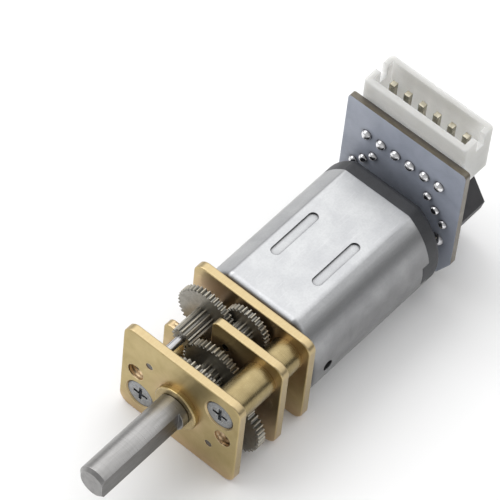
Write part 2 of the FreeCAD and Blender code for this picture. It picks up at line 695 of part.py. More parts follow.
def motor_screw_body(side):
    """Countersunk screw, flush with the front of the rear plate, before its slot is cut."""
    centre = (side * MOTOR_SCREW_Y, 0.0)
    cone_x = REAR_PLATE_X - (MOTOR_SCREW_HEAD_RADIUS - MOTOR_SCREW_SHANK_RADIUS)
    head = cone((cone_x, REAR_PLATE_X), (MOTOR_SCREW_SHANK_RADIUS, MOTOR_SCREW_HEAD_RADIUS),
                centre)
    return head.fuse(disc((MOTOR_SCREW_END_X, cone_x), MOTOR_SCREW_SHANK_RADIUS, centre))


def motor_screws():
    screws = []
    for side in (-1, 1):
        y = side * MOTOR_SCREW_Y
        slot = block((REAR_PLATE_X - CROSS_DEPTH / 2, REAR_PLATE_X),
                     (y - MOTOR_SCREW_HEAD_RADIUS, y + MOTOR_SCREW_HEAD_RADIUS),
                     (-CROSS_WIDTH / 3, CROSS_WIDTH / 3))
        screws.append(motor_screw_body(side).cut(slot))
    return group(screws)


def brushes():
    """Two spring leaves that press on the commutator, each with a foot at the cap."""
    leaves = []
    inner = COMMUTATOR_RADIUS + BRUSH_GAP
    foot_x = (CAP_PLUG_X, min(BRUSH_X))
    for side in (-1, 1):
        y_range = (side * inner, side * (inner + BRUSH_THICKNESS))
        leaf = block(BRUSH_X, y_range, BRUSH_Z)
        foot = block(foot_x, y_range, (-BRUSH_FOOT_HALF_WIDTH, BRUSH_FOOT_HALF_WIDTH))
        leaves.append(leaf.fuse(foot))
    return group(leaves)


def terminal_strip(side):
    y_middle = side * TERMINAL_Y
    y_range = (y_middle - TERMINAL_THICKNESS / 2, y_middle + TERMINAL_THICKNESS / 2)
    return block((TERMINAL_END_X, CAP_PLUG_X), y_range, (-TERMINAL_HALF_WIDTH, TERMINAL_HALF_WIDTH))


def motor_terminals():
    """Strips from the brushes' feet, through the cap and the circuit board."""
    terminals = []
    link_x = (CAP_PLUG_X, CAP_PLUG_X + TERMINAL_LINK_THICKNESS)
    inner = COMMUTATOR_RADIUS + BRUSH_GAP + BRUSH_THICKNESS
    outer = TERMINAL_Y + TERMINAL_THICKNESS / 2
    for side in (-1, 1):
        link = block(link_x, (side * inner, side * outer),
                     (-TERMINAL_HALF_WIDTH, TERMINAL_HALF_WIDTH))
        terminals.append(terminal_strip(side).fuse(link).removeSplitter())
    return group(terminals)


# ---------------------------------------------------------------- encoder

def header_way_positions():
    """Y of each of the header's ways."""
    return [WAY_PITCH * (way - (WAY_COUNT - 1) / 2) for way in range(WAY_COUNT)]


def leg_rows(radius, angles):
    """(y, z) of three legs in a straight row at each of the angles."""
    places = []
    for angle in angles:
        centre = on_circle(radius, angle)
        along = on_circle(1.0, angle + 90.0)
        for step in (-1, 0, 1):
            point = centre + along * (step * LEG_PITCH)
            places.append((point.y, point.z))
    return places


def leg_positions():
    """(y, z) of every sensor leg in the circuit board."""
    return leg_rows(LEG_HOLE_RADIUS, LEG_HOLE_ANGLES)


def square_bar(x_range, size, centre):
    y, z = centre
    return block(x_range, (y - size / 2, y + size / 2), (z - size / 2, z + size / 2))


def circuit_board():
    outline = [(-BOARD_HALF_WIDTH, BOARD_TOP_Z), (-BOARD_HALF_WIDTH, BOARD_SHOULDER_Z),
               (-BOARD_BOTTOM_HALF_WIDTH, BOARD_BOTTOM_Z), (BOARD_BOTTOM_HALF_WIDTH, BOARD_BOTTOM_Z),
               (BOARD_HALF_WIDTH, BOARD_SHOULDER_Z), (BOARD_HALF_WIDTH, BOARD_TOP_Z)]
    x_range = (BOARD_REAR_X, BOARD_FRONT_X)
    board = prism(outline, x_range)
    board = board.makeFillet(BOARD_CORNER_RADIUS, [e for e in board.Edges if runs_along_x(e)])
    holes = [disc(x_range, BOARD_HOLE_RADIUS), terminal_strip(-1), terminal_strip(1)]
    holes += [square_bar(x_range, PIN_SIZE, (y, HEADER_JOINT_Z)) for y in header_way_positions()]
    holes += [square_bar(x_range, LEG_SIZE, centre) for centre in leg_positions()]
    return board.cut(holes)


def solder_dome(sizes, centre, face_x=BOARD_FRONT_X, outward=1):
    """Dome on a face of the board, given as (radius, height)."""
    radius, height = sizes
    ball_radius = (radius ** 2 + height ** 2) / (2 * height)
    middle_x = face_x + outward * (height - ball_radius)
    ball = Part.makeSphere(ball_radius, FreeCAD.Vector(middle_x, centre[0], centre[1]))
    reach = 2 * ball_radius
    keep = block((face_x, face_x + outward * 2 * height), (centre[0] - reach, centre[0] + reach),
                 (centre[1] - reach, centre[1] + reach))
    return ball.common(keep)


def connector_joints():
    joints = []
    for y in header_way_positions():
        centre = (y, HEADER_JOINT_Z)
        pin = square_bar((BOARD_REAR_X, HEADER_PIN_FRONT_X), PIN_SIZE, centre)
        joints.append(solder_dome(HEADER_DOME, centre).cut(pin))
    return group(joints)


def sensor_joints():
    joints = []
    for centre in leg_positions():
        leg = square_bar((BOARD_REAR_X, LEG_FRONT_X), LEG_SIZE, centre)
        joints.append(solder_dome(SENSOR_DOME, centre).cut(leg))
    return group(joints)


def terminal_joints():
    """Solder round each terminal, on both faces of the board."""
    joints = []
    for side in (-1, 1):
        for face_x, outward in ((BOARD_FRONT_X, 1), (BOARD_REAR_X, -1)):
            dome = solder_dome(TERMINAL_DOME, (side * TERMINAL_Y, 0.0), face_x, outward)
            joints.append(dome.cut(terminal_strip(side)))
    return group(joints)


def hall_sensors():
    """Two moulded sensors whose flat faces look at the magnet's rim."""
    inner = SENSOR_INNER_RADIUS
    outer = inner + SENSOR_THICKNESS
    half = SENSOR_WIDTH / 2
    outline = [(inner, -half), (outer - SENSOR_BEVEL, -half), (outer, SENSOR_BEVEL - half),
               (outer, half - SENSOR_BEVEL), (outer - SENSOR_BEVEL, half), (inner, half)]
    body = prism(outline, SENSOR_X)
    body = body.makeFillet(SENSOR_EDGE_RADIUS, body.Edges)
    return group([turned(body, angle) for angle in SENSOR_ANGLES])


def square_at(x, centre):
    """Closed square outline of one leg, in the plane at x."""
    half = LEG_SIZE / 2
    y, z = centre
    corners = [FreeCAD.Vector(x, y + dy, z + dz)
               for dy, dz in ((-half, -half), (half, -half), (half, half), (-half, half))]
    return Part.makePolygon(corners + corners[:1])


def sensor_legs():
    """Legs that slant from the sensors to their holes in the board."""
    legs = []
    body_radius = SENSOR_INNER_RADIUS + SENSOR_THICKNESS / 2
    body_places = leg_rows(body_radius, SENSOR_ANGLES)
    for body_centre, hole_centre in zip(body_places, leg_positions()):
        slant = Part.makeLoft([square_at(max(SENSOR_X), body_centre),
                               square_at(BOARD_REAR_X, hole_centre)], True, True)
        legs.append(slant.fuse(square_bar((BOARD_REAR_X, LEG_FRONT_X), LEG_SIZE, hole_centre)))
    return group(legs)


def magnet_disc():
    disc_body = disc(DISC_X, DISC_RADIUS)
    for x in DISC_X:
        disc_body = round_rim(disc_body, x, DISC_EDGE_RADIUS)
    return disc_body.cut(disc(DISC_X, HUB_RADIUS))


def disc_hub():
    """Brass insert that holds the magnet on the rotor shaft."""
    hub_x = (min(DISC_X), max(DISC_X) + 0.4)
    return disc(hub_x, HUB_RADIUS).cut(disc(hub_x, ROTOR_SHAFT_RADIUS))


def connector_housing():
    """Shrouded header whose mouth faces up, with a keying slot in each end wall."""
    rear_x = BOARD_REAR_X - HOUSING_DEPTH
    body = block((rear_x, BOARD_REAR_X), (-HOUSING_HALF_WIDTH, HOUSING_HALF_WIDTH), HOUSING_Z)
    uprights = [edge for edge in body.Edges
                if abs(edge.tangentAt(edge.FirstParameter).z) > 0.99]
    body = body.makeFillet(HOUSING_CORNER_RADIUS, uprights)
    rim = [edge for edge in body.Edges if edge.BoundBox.ZMin > HOUSING_Z[1] - 0.01]
    body = body.makeFillet(HOUSING_RIM_RADIUS, rim)
    cavity = block((rear_x + HOUSING_WALL, BOARD_REAR_X - HOUSING_WALL),
                   (-HOUSING_HALF_WIDTH + HOUSING_WALL, HOUSING_HALF_WIDTH - HOUSING_WALL),
                   (HOUSING_FLOOR_Z, HOUSING_Z[1] + 0.1))
    key_slots = block(KEY_SLOT_X, (-HOUSING_HALF_WIDTH - 0.1, HOUSING_HALF_WIDTH + 0.1),
                      (KEY_SLOT_BOTTOM_Z, HOUSING_Z[1] + 0.1))
    pins = [square_pin_bar(y) for y in header_way_positions()]
    return body.cut([cavity, key_slots] + pins)


def square_pin_bar(y):
    """Upright part of one header pin."""
    half = PIN_SIZE / 2
    return block((HEADER_PIN_X - half, HEADER_PIN_X + half), (y - half, y + half),
                 (HEADER_JOINT_Z - half, HEADER_PIN_TOP_Z))


def connector_pins():
    """Pins that stand in the mouth and turn into the circuit board."""
    half = PIN_SIZE / 2
    pins = []
    for y in header_way_positions():
        foot = block((HEADER_PIN_X - half, HEADER_PIN_FRONT_X), (y - half, y + half),
                     (HEADER_JOINT_Z - half, HEADER_JOINT_Z + half))
        pins.append(square_pin_bar(y).fuse(foot).removeSplitter())
    return group(pins)


def chip_at(y):
    height, width, length = CHIP_SIZE
    return block((BOARD_REAR_X - height, BOARD_REAR_X), (y - width / 2, y + width / 2),
                 (CHIP_Z - length / 2, CHIP_Z + length / 2))


def chip_resistors():
    return group([chip_at(-CHIP_SPACING), chip_at(CHIP_SPACING)])


def chip_capacitor():
    return chip_at(0.0)


# ---------------------------------------------------------------- files

NODES = {
    "front_plate": front_plate,
    "middle_plate": middle_plate,
    "rear_plate": rear_plate,
    "front_spacers": front_spacers,
    "rear_spacers": rear_spacers,
    "gearbox_screws": gearbox_screws,
    "output_bush": output_bush,
    "output_shaft": output_shaft,
    "output_gear": output_gear,
    "centre_idler_gear": centre_idler_gear,
    "idler_gear_a": idler_gear_a,
    "idler_gear_b": idler_gear_b,
    "first_idler_gear": first_idler_gear,
    "idler_pin_a": idler_pin_a,
    "idler_pin_b": idler_pin_b,
    "first_idler_pin": first_idler_pin,
    "motor_pinion": motor_pinion,
    "motor_screws": motor_screws,
    "motor_can": motor_can,
    "end_cap": end_cap,
    "front_bearing": front_bearing,
    "rear_bearing": rear_bearing,
    "left_field_magnet": lambda: field_magnet(180.0),
    "right_field_magnet": lambda: field_magnet(0.0),
    "rotor_shaft": rotor_shaft,
    "rotor_core": rotor_core,
    "rotor_windings": rotor_windings,
    "commutator": commutator,
    "commutator_core": commutator_core,
    "rotor_washers": rotor_washers,
    "brushes": brushes,
    "motor_terminals": motor_terminals,
    "circuit_board": circuit_board,
    "connector_housing": connector_housing,
    "connector_pins": connector_pins,
    "connector_joints": connector_joints,
    "sensor_joints": sensor_joints,
    "terminal_joints": terminal_joints,
    "hall_sensors": hall_sensors,
    "sensor_legs": sensor_legs,
    "magnet_disc": magnet_disc,
    "disc_hub": disc_hub,
    "chip_resistors": chip_resistors,
    "chip_capacitor": chip_capacitor,
}

os.makedirs("parts", exist_ok=True)
for node, make in NODES.items():
    shape = make()
    shape.exportStep("parts/" + node + ".step")
    print(node, len(shape.Solids), "solids, volume", round(shape.Volume, 3), shape.isValid())
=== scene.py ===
import json
import math

import bpy
from mathutils import Matrix, Vector


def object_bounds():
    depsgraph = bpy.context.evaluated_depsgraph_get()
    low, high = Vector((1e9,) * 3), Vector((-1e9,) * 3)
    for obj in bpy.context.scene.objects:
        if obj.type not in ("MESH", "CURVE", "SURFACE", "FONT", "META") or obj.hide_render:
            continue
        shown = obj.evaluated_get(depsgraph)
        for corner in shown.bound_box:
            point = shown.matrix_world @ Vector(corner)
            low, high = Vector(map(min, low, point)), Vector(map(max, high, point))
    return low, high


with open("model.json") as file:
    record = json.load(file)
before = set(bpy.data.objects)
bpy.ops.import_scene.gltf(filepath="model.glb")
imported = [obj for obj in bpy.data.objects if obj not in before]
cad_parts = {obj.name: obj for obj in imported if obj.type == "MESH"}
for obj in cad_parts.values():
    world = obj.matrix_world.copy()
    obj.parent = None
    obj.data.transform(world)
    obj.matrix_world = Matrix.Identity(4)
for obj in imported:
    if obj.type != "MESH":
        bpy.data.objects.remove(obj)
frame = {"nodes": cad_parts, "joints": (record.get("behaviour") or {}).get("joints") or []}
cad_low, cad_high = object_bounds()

# Looks of a small geared motor. Lengths are in metres, in the frame that the CAD uses: the
# output shaft lies along +X from the front of the gearbox, and +Z leaves the can's upper flat.

MM = 0.001
MICRON = 0.000001

SCREW_CENTRE = (3.95 * MM, 2.6 * MM)
MOTOR_SCREW_CENTRE = (3.0 * MM, 0.0)
GEARBOX_SCREW_RADIUS = 1.3 * MM
MOTOR_SCREW_RADIUS = 0.95 * MM
MOUNTING_HOLE_CENTRE = (4.5 * MM, 0.0)
MOUNTING_HOLE_RADIUS = 0.8 * MM
THREAD_PITCH = 0.35 * MM
MOTOR_AXIS = (0.0, 0.0)
BOARD_FRONT_X = -26.4 * MM
SOLDER_FOOT_HEIGHT = 0.25 * MM
BOARD_WEAVE_PITCH = 0.32 * MM
LAMINATION_PITCH = 0.35 * MM
WIRE_PITCH = 0.12 * MM

NOISE_ROUGHNESS = 0.55
RAYS_PER_POINT = 6
THREAD_HEIGHT = 20.0
THREAD_REACH = 1.02

# Places of the colour sockets on Blender's Mix node, which has one set for each data type.
MIX_FIRST_COLOUR = 6
MIX_SECOND_COLOUR = 7
MIX_RESULT_COLOUR = 2


def srgb(red, green, blue):
    """Linear colour of an 8-bit display colour."""
    linear = []
    for level in (red, green, blue):
        share = level / 255
        linear.append(share / 12.92 if share <= 0.04045 else ((share + 0.055) / 1.055) ** 2.4)
    return (*linear, 1.0)


# ------------------------------------------------------------------- material building

class Finish:
    """One node material. Patterns are placed by the piece's own coordinates, in metres."""

    def __init__(self, name, **constants):
        self.material = bpy.data.materials.new(name)
        self.material.use_nodes = True
        self.tree = self.material.node_tree
        self.shader = self.tree.nodes["Principled BSDF"]
        self.shader.distribution = "MULTI_GGX"
        self.place = self.add("ShaderNodeTexCoord").outputs["Object"]
        self.geometry = self.add("ShaderNodeNewGeometry")
        for socket, value in constants.items():
            self.set(socket, value)

    def add(self, kind):
        return self.tree.nodes.new(kind)

    def feed(self, socket, value):
        if isinstance(value, bpy.types.NodeSocket):
            self.tree.links.new(value, socket)
        else:
            socket.default_value = value

    def set(self, socket, value):
        """Sets or links a socket of the shader; underscores in its name stand for spaces."""
        self.feed(self.shader.inputs[socket.replace("_", " ")], value)

    def maths(self, operation, first, second=0.0):
        node = self.add("ShaderNodeMath")
        node.operation = operation
        self.feed(node.inputs[0], first)
        self.feed(node.inputs[1], second)
        return node.outputs[0]

    def scaled(self, size, stretch=(1, 1, 1), source=None):
        """Coordinates in which one unit is size, or size times stretch along an axis."""
        node = self.add("ShaderNodeMapping")
        self.feed(node.inputs["Vector"], source or self.place)
        node.inputs["Scale"].default_value = [1 / (size * s) for s in stretch]
        return node.outputs[0]

    def noise(self, size, stretch=(1, 1, 1), detail=3.0, warp=0.0, source=None):
        """Cloudy pattern from zero to one, with features of about size."""
        node = self.add("ShaderNodeTexNoise")
        self.feed(node.inputs["Vector"], self.scaled(size, stretch, source))
        node.inputs["Scale"].default_value = 1.0
        node.inputs["Detail"].default_value = detail
        node.inputs["Roughness"].default_value = NOISE_ROUGHNESS
        node.inputs["Distortion"].default_value = warp
        return node.outputs["Fac"]

    def cells(self, size):
        """Distance from the middle of the nearest cell, with cells of about size."""
        node = self.add("ShaderNodeTexVoronoi")
        node.feature = "F1"
        self.feed(node.inputs["Vector"], self.scaled(size))
        node.inputs["Scale"].default_value = 1.0
        return node.outputs["Distance"]

    def remap(self, value, low, high, out_low=0.0, out_high=1.0):
        node = self.add("ShaderNodeMapRange")
        self.feed(node.inputs["Value"], value)
        node.inputs["From Min"].default_value = low
        node.inputs["From Max"].default_value = high
        node.inputs["To Min"].default_value = out_low
        node.inputs["To Max"].default_value = out_high
        return node.outputs[0]

    def mix(self, factor, first, second):
        node = self.add("ShaderNodeMix")
        node.data_type = "RGBA"
        self.feed(node.inputs["Factor"], factor)
        self.feed(node.inputs[MIX_FIRST_COLOUR], first)
        self.feed(node.inputs[MIX_SECOND_COLOUR], second)
        return node.outputs[MIX_RESULT_COLOUR]

    def part_of(self, vector, axis):
        node = self.add("ShaderNodeSeparateXYZ")
        self.feed(node.inputs[0], vector)
        return node.outputs[axis]

    def axis_place(self, axis):
        return self.part_of(self.place, axis)

    def facing(self, axis, low=0.6, high=0.9):
        """One where the surface faces along an axis, either way, and zero where it doesn't."""
        normal = self.add("ShaderNodeTexCoord").outputs["Normal"]
        return self.remap(self.maths("ABSOLUTE", self.part_of(normal, axis)), low, high)

    def from_axis(self, centre, paired=False):
        """Offsets (y, z) from a line along X, or from the nearer of two opposite lines."""
        y, z = self.axis_place(1), self.axis_place(2)
        if paired:
            side = self.maths("SIGN", y)
            y, z = self.maths("MULTIPLY", y, side), self.maths("MULTIPLY", z, side)
        return self.maths("SUBTRACT", y, centre[0]), self.maths("SUBTRACT", z, centre[1])

    def radius(self, centre, paired=False):
        y, z = self.from_axis(centre, paired)
        squares = self.maths("ADD", self.maths("MULTIPLY", y, y), self.maths("MULTIPLY", z, z))
        return self.maths("SQRT", squares)

    def turning(self, centre, paired=False):
        """Coordinates that are constant around a line along X, for lathe and grinding lines."""
        node = self.add("ShaderNodeCombineXYZ")
        self.feed(node.inputs[0], self.axis_place(0))
        self.feed(node.inputs[1], self.radius(centre, paired))
        return node.outputs[0]

    def near_edges(self, size):
        """One along the piece's own sharp edges, within about size of them."""
        node = self.add("ShaderNodeVectorMath")
        node.operation = "DOT_PRODUCT"
        self.feed(node.inputs[0], self.soften(size))
        self.feed(node.inputs[1], self.geometry.outputs["Normal"])
        return self.remap(node.outputs["Value"], 0.99, 0.86)

    def sheltered(self, reach, low=0.35, high=0.9):
        """One deep in corners and gaps, and zero in the open."""
        node = self.add("ShaderNodeAmbientOcclusion")
        node.samples = RAYS_PER_POINT
        node.inputs["Distance"].default_value = reach
        return self.remap(node.outputs["AO"], high, low)

    def soften(self, size):
        """Normal that rounds the piece's sharp edges to a radius of size."""
        node = self.add("ShaderNodeBevel")
        node.samples = RAYS_PER_POINT
        node.inputs["Radius"].default_value = size
        return node.outputs[0]

    def bump(self, height, depth, normal=None):
        node = self.add("ShaderNodeBump")
        node.inputs["Strength"].default_value = 1.0
        node.inputs["Distance"].default_value = depth
        self.feed(node.inputs["Height"], height)
        if normal is not None:
            self.feed(node.inputs["Normal"], normal)
        return node.outputs[0]

    def give_to(self, *names):
        for name in names:
            for holder in frame["nodes"][name].material_slots:
                holder.material = self.material


# ------------------------------------------------------------------- brass

def plate_brass():
    """Rolled brass plate: satin faces with a little tarnish, sheared edges, a painted edge highlight
    and painted fill light in corners.
    """
    f = Finish("rolled_brass", Metallic=1.0)
    face = f.facing(0)
    mottle = f.noise(1.6 * MM, detail=4, warp=0.4)
    rolled = f.noise(0.07 * MM, (1, 9, 1), detail=2)
    sheared = f.noise(0.06 * MM, (10, 1, 1), detail=2)
    tarnish = f.mix(f.remap(mottle, 0.35, 0.7), srgb(188, 169, 118), srgb(172, 153, 102))
    flat = f.mix(f.remap(rolled, 0.3, 0.7, 0.0, 0.35), tarnish, srgb(194, 178, 138))
    edge = f.mix(f.remap(sheared, 0.35, 0.65), srgb(182, 165, 128), srgb(177, 158, 120))
    # Painted highlight: paler brass along the sharp edges of the plates.
    wear_and_edge_highlight = f.mix(f.maths("MULTIPLY", f.near_edges(0.12 * MM), 0.6), f.mix(face, edge, flat),
                 srgb(232, 216, 176))
    # Painted fill light: paler, less saturated brass in corners and gaps between the plates, where
    # shade falls.
    f.set("Base_Color", f.mix(f.maths("MULTIPLY", f.sheltered(2.6 * MM, 0.25, 0.95), 0.75), wear_and_edge_highlight,
                              srgb(222, 190, 160)))
    grain = f.mix(face, f.maths("MULTIPLY", sheared, 0.3), rolled)
    f.set("Roughness", f.remap(f.maths("ADD", mottle, rolled), 0.6, 1.4, 0.26, 0.44))
    thread = f.mix(0.5, grain, thread_height(f))
    f.set("Normal", f.bump(thread, 7 * MICRON, f.soften(0.09 * MM)))
    f.give_to("front_plate", "middle_plate", "rear_plate")


def thread_height(f):
    """Ridges of a screw thread on the walls of the two mounting holes, and zero elsewhere."""
    y, z = f.from_axis(MOUNTING_HOLE_CENTRE)
    across = f.maths("SUBTRACT", f.maths("ABSOLUTE", f.axis_place(1)), MOUNTING_HOLE_CENTRE[0])
    turn = f.maths("DIVIDE", f.maths("ARCTAN2", z, across), 2 * math.pi)
    along = f.maths("ADD", f.maths("DIVIDE", f.axis_place(0), THREAD_PITCH), turn)
    ridge = f.maths("ABSOLUTE", f.maths("SUBTRACT", f.maths("FRACT", along), 0.5))
    square = f.maths("ADD", f.maths("MULTIPLY", across, across), f.maths("MULTIPLY", z, z))
    wall = f.maths("LESS_THAN", f.maths("SQRT", square), MOUNTING_HOLE_RADIUS * THREAD_REACH)
    return f.maths("MULTIPLY", f.maths("MULTIPLY", ridge, wall), THREAD_HEIGHT)


def turned_brass(name, nodes, centre, paired, base, shade):
    """Lathe-turned brass with fine rings and painted shade in the corners at its ends."""
    f = Finish(name, Metallic=1.0)
    rings = f.noise(0.05 * MM, detail=3, source=f.turning(centre, paired))
    broad = f.noise(0.9 * MM, detail=3, warp=0.3)
    tone = f.mix(f.remap(f.maths("ADD", f.maths("MULTIPLY", rings, 0.5), broad), 0.5, 1.0), base,
                 shade)
    # Painted shade: darker brass in corners and gaps within 1 mm of other surfaces.
    tone = f.mix(f.maths("MULTIPLY", f.sheltered(1.0 * MM), 0.5), tone, srgb(112, 94, 68))
    f.set("Base_Color", tone)
    f.set("Roughness", f.remap(rings, 0.3, 0.7, 0.22, 0.36))
    f.set("Normal", f.bump(rings, 3 * MICRON, f.soften(0.04 * MM)))
    f.give_to(*nodes)


def bronze():
    """Porous sintered bronze of the motor's two bearings."""
    f = Finish("sintered_bronze", Metallic=1.0)
    pores = f.cells(0.09 * MM)
    f.set("Base_Color", f.mix(f.remap(pores, 0.2, 0.6), srgb(196, 152, 98), srgb(120, 84, 50)))
    f.set("Roughness", f.remap(pores, 0.1, 0.7, 0.5, 0.35))
    f.set("Normal", f.bump(pores, 6 * MICRON))
    f.give_to("front_bearing", "rear_bearing")


# ------------------------------------------------------------------- steel

def gear_profile(name, centre):
    """Tip radii of a gear's first and last toothed ring, and the x that parts them, from its mesh."""
    planes = {}
    for vertex in frame["nodes"][name].data.vertices:
        reach = math.hypot(vertex.co.y - centre[0], vertex.co.z - centre[1])
        station = round(vertex.co.x / MM, 2)
        planes[station] = max(reach, planes.get(station, 0.0))
    stations = sorted(planes)
    return planes[stations[0]], planes[stations[-1]], stations[1] * MM


def gear_steel(name, body):
    """Oiled gear steel: painted shade in the tooth gaps, tips paler from wear and a painted
    highlight, and plain grey end faces.
    """
    joint = next(j for j in frame["joints"] if j["child"] == body)
    centre = (joint["pos_m"][1], joint["pos_m"][2])
    f = Finish("gear_steel_" + name, Metallic=1.0, Coat_Weight=0.2, Coat_Roughness=0.15)
    first_tip, last_tip, split_x = gear_profile(name, centre)
    beyond = f.maths("GREATER_THAN", f.axis_place(0), split_x)
    tip = f.maths("ADD", f.maths("MULTIPLY", beyond, last_tip - first_tip), first_tip)
    # Painted highlight and wear: the tips of the teeth are paler.
    wear_and_edge_highlight = f.remap(f.maths("SUBTRACT", tip, f.radius(centre)), 0.13 * MM, 0.0)
    grime = f.noise(0.5 * MM, detail=4, warp=0.5)
    scratches = f.noise(0.05 * MM, detail=3, source=f.turning(centre))
    oily = f.mix(f.remap(grime, 0.35, 0.7), srgb(128, 126, 120), srgb(148, 146, 139))
    tooth = f.mix(f.maths("POWER", wear_and_edge_highlight, 1.6), oily, srgb(166, 160, 146))
    plain = f.mix(f.remap(f.maths("ADD", grime, scratches), 0.7, 1.3), srgb(160, 157, 149),
                  srgb(138, 135, 128))
    tone = f.mix(f.facing(0), tooth, plain)
    # Painted shade: darker steel deep in the tooth gaps and corners.
    f.set("Base_Color", f.mix(f.maths("MULTIPLY", f.sheltered(0.8 * MM, 0.3, 0.85), 0.12), tone,
                              srgb(62, 60, 56)))
    f.set("Roughness", f.remap(f.maths("ADD", scratches, grime), 0.6, 1.4, 0.34, 0.54))
    f.set("Normal", f.bump(scratches, 2.5 * MICRON, f.soften(0.02 * MM)))
    f.give_to(name)


def shaft_steel():
    """Ground steel with fine rings round it and faint marks along its flat, painted shade on the flat
    and a painted highlight along its edges.
    """
    f = Finish("ground_steel", Metallic=1.0)
    rings = f.noise(0.035 * MM, detail=3, source=f.turning(MOTOR_AXIS))
    flat = f.facing(1, 0.985, 0.998)
    along = f.noise(0.05 * MM, (20, 1, 1), detail=2)
    smudge = f.noise(0.5 * MM, (6, 1, 1), detail=4, warp=0.2)
    marks = f.mix(flat, rings, along)
    tone = f.mix(f.remap(smudge, 0.3, 0.75), srgb(148, 147, 146), srgb(130, 129, 128))
    # Painted shade: the flat faces +Y, away from the key light, and is painted darker.
    tone = f.mix(f.maths("MULTIPLY", flat, 0.75), tone, srgb(84, 82, 81))
    tone = f.mix(f.remap(marks, 0.35, 0.7, 0.0, 0.3), tone, srgb(176, 175, 174))
    # Painted highlight: paler steel along the sharp edges, such as the ridge of the flat.
    f.set("Base_Color", f.mix(f.maths("MULTIPLY", f.near_edges(0.06 * MM), 0.6), tone,
                              srgb(206, 205, 204)))
    f.set("Roughness", f.remap(f.maths("ADD", smudge, marks), 0.6, 1.4, 0.24, 0.42))
    f.set("Normal", f.bump(marks, 3 * MICRON, f.soften(0.04 * MM)))
    f.give_to("output_shaft", "rotor_shaft")


def pin_steel():
    """Bright drawn pins with cropped ends that are dull and painted darker as shade."""
    f = Finish("drawn_steel", Metallic=1.0)
    lines = f.noise(0.03 * MM, (30, 1, 1), detail=2)
    drawn = f.mix(f.remap(lines, 0.3, 0.7), srgb(182, 181, 182), srgb(158, 157, 158))
    # The cropped ends, facing along X, are darker: partly their dull cut finish, partly painted
    # shade.
    f.set("Base_Color", f.mix(f.facing(0), drawn, srgb(104, 100, 94)))
    f.set("Roughness", f.remap(lines, 0.3, 0.7, 0.16, 0.3))
    f.set("Normal", f.bump(lines, 1.5 * MICRON, f.soften(0.03 * MM)))
    f.give_to("idler_pin_a", "idler_pin_b", "first_idler_pin")


def screw_nickel(name, node, centre, rim_radius):
    """Nickel-plated screw with turned rings, a painted edge highlight, a dark rim of painted shade
    and painted light in its recess.
    """
    f = Finish(name, Metallic=1.0)
    rings = f.noise(0.04 * MM, detail=2, source=f.turning(centre, True))
    blotch = f.noise(0.5 * MM, detail=3)
    tone = f.mix(f.remap(blotch, 0.35, 0.7), srgb(158, 160, 162), srgb(134, 135, 136))
    # Painted highlight: paler nickel along the sharp edges.
    tone = f.mix(f.maths("MULTIPLY", f.near_edges(0.06 * MM), 0.5), tone, srgb(200, 200, 198))
    # Painted shade: a dark ring at the outer rim of the head.
    rim = f.remap(f.radius(centre, True), rim_radius - 0.16 * MM, rim_radius)
    tone = f.mix(f.maths("MULTIPLY", rim, 0.8), tone, srgb(58, 57, 56))
    # Painted light: paler nickel deep in the cross recess and other hollows.
    f.set("Base_Color", f.mix(f.maths("MULTIPLY", f.sheltered(0.5 * MM), 0.5), tone,
                              srgb(182, 184, 188)))
    f.set("Roughness", f.remap(f.maths("ADD", rings, blotch), 0.6, 1.4, 0.2, 0.38))
    f.set("Normal", f.bump(rings, 3 * MICRON, f.soften(0.05 * MM)))
    f.give_to(node)


def can_nickel():
    """Drawn can with satin nickel plate: soft mottling, draw lines, round sides painted darker as
    shade, and painted shade along its edges and in its slots.
    """
    f = Finish("satin_nickel", Metallic=1.0)
    cloud = f.noise(2.2 * MM, detail=5, warp=0.5)
    speck = f.noise(0.16 * MM, detail=3)
    drawn = f.noise(0.11 * MM, (40, 1, 1), detail=2)
    scratch = f.remap(f.noise(0.05 * MM, (60, 1.5, 1), detail=1, warp=0.2), 0.66, 0.74)
    tone = f.mix(f.remap(cloud, 0.35, 0.68), srgb(180, 181, 182), srgb(170, 171, 173))
    tone = f.mix(f.remap(speck, 0.4, 0.75, 0.0, 0.35), tone, srgb(158, 159, 161))
    tone = f.mix(f.maths("MULTIPLY", scratch, 0.25), tone, srgb(206, 206, 207))
    # Painted shade: the round sides, away from the upper and lower flats, are darker.
    tone = f.mix(f.facing(2, 0.25, 0.8), f.mix(f.remap(cloud, 0.3, 0.7), srgb(142, 142, 143),
                                               srgb(124, 124, 125)), tone)
    # Painted shade: darker nickel along the sharp edges, such as the rims of the slots.
    tone = f.mix(f.maths("MULTIPLY", f.near_edges(0.09 * MM), 0.35), tone, srgb(110, 110, 112))
    # Painted shade: darker nickel in the slots, corners and gaps.
    f.set("Base_Color", f.mix(f.maths("MULTIPLY", f.sheltered(0.6 * MM, 0.6, 0.98), 0.75), tone,
                              srgb(70, 70, 72)))
    f.set("Roughness", f.remap(f.maths("ADD", cloud, speck), 0.6, 1.4, 0.28, 0.4))
    surface = f.maths("ADD", f.maths("MULTIPLY", speck, 1.3), f.maths("MULTIPLY", drawn, 0.7))
    f.set("Normal", f.bump(surface, 4 * MICRON, f.soften(0.04 * MM)))
    f.give_to("motor_can")


def tinned(name, nodes, bright, dull):
    """Plated or bare sheet metal with a cloudy tone."""
    f = Finish(name, Metallic=1.0)
    cloud = f.noise(0.4 * MM, detail=3)
    f.set("Base_Color", f.mix(f.remap(cloud, 0.35, 0.7), bright, dull))
    f.set("Roughness", f.remap(cloud, 0.3, 0.7, 0.22, 0.4))
    f.set("Normal", f.bump(cloud, 4 * MICRON, f.soften(0.04 * MM)))
    f.give_to(*nodes)


